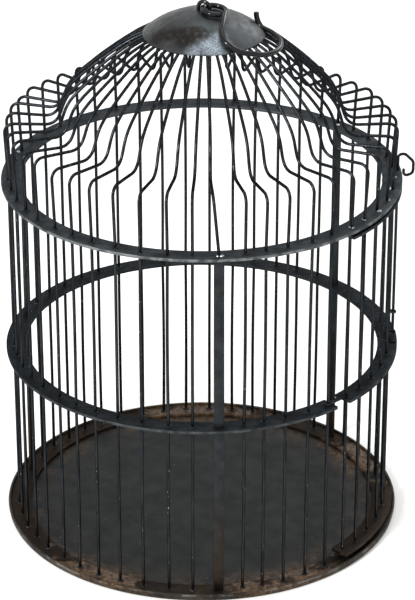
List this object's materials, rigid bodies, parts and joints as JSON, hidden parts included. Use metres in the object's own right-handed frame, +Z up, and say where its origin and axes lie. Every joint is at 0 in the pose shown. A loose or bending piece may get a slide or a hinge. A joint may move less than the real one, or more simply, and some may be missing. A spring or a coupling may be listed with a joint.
{
  "type": "bird cage",
  "caption": "Round wire bird cage with a domed top over a shoulder, flat hoops, a barred door, a drop-pin latch and a hanging hook.",
  "frame": {"origin": "centre of the base pan's underside, on the surface that the cage stands on", "axes": "+Z up; -Y is the front; the door is at the front right, towards +X"},
  "size_m": [0.4164, 0.4064, 0.5576],
  "materials": {
    "wire_steel": "blackened round wire, satin",
    "bar_steel": "blackened flat bar, satin, slightly mottled",
    "rusted_bar": "blackened flat bar with brown rust bloom",
    "rusted_sheet": "dark sheet steel, dull, browned at the rim",
    "burnished_sheet": "burnished sheet steel with a brown heat stain",
    "gloss_black_rod": "glossy black"
  },
  "bodies": {
    "cage": {"base_hoop": "rusted_bar", "base_pan": "rusted_sheet", "cage_wire_01": "wire_steel", "cage_wire_02": "wire_steel", "cage_wire_03": "wire_steel", "cage_wire_04": "wire_steel", "cage_wire_05": "wire_steel", "cage_wire_06": "wire_steel", "cage_wire_07": "wire_steel", "cage_wire_08": "wire_steel", "cage_wire_09": "wire_steel", "cage_wire_10": "wire_steel", "cage_wire_11": "wire_steel", "cage_wire_12": "wire_steel", "cage_wire_13": "wire_steel", "cage_wire_14": "wire_steel", "cage_wire_15": "wire_steel", "cage_wire_16": "wire_steel", "cage_wire_17": "wire_steel", "cage_wire_18": "wire_steel", "cage_wire_19": "wire_steel", "cage_wire_20": "wire_steel", "cage_wire_21": "wire_steel", "cage_wire_22": "wire_steel", "cage_wire_23": "wire_steel", "cage_wire_24": "wire_steel", "cage_wire_25": "wire_steel", "cage_wire_26": "wire_steel", "cage_wire_27": "wire_steel", "cage_wire_28": "wire_steel", "cage_wire_29": "wire_steel", "cage_wire_30": "wire_steel", "cage_wire_31": "wire_steel", "cage_wire_32": "wire_steel", "cage_wire_33": "wire_steel", "cage_wire_34": "wire_steel", "cage_wire_35": "wire_steel", "cage_wire_36": "wire_steel", "cage_wire_37": "wire_steel", "cage_wire_38": "wire_steel", "cage_wire_39": "wire_steel", "cap": "burnished_sheet", "cap_eye": "wire_steel", "dome_wire_back_right": "wire_steel", "dome_wire_front": "wire_steel", "dome_wire_left": "wire_steel", "dome_wires_over_door": "wire_steel", "mid_hoop": "bar_steel", "strap_back_right": "bar_steel", "strap_front": "bar_steel", "strap_left": "bar_steel", "upper_hoop": "bar_steel"},
    "door": {"door_bottom_band": "rusted_bar", "door_grille": "bar_steel", "door_keeper": "bar_steel", "door_top_band": "bar_steel", "hinge_loop_middle": "bar_steel", "hinge_loop_top": "bar_steel"},
    "latch": {"latch_pin": "wire_steel"},
    "hook": {"hook": "gloss_black_rod"}
  },
  "joints": [
    {"name": "door_hinge", "type": "hinge", "parent": "cage", "child": "door", "pos_m": [0.12405, -0.14524, 0.19], "axis": [0, 0, -1], "range_deg": [0, 100]},
    {"name": "latch_slide", "type": "slide", "parent": "cage", "child": "latch", "axis": [0, 0, -1], "range_m": [0, 0.012]},
    {"name": "hook_swing", "type": "hinge", "parent": "cage", "child": "hook", "pos_m": [0.0022, 0, 0.5501], "axis": [-0.3907, -0.9205, 0], "range_deg": [0, 180]}
  ]
}
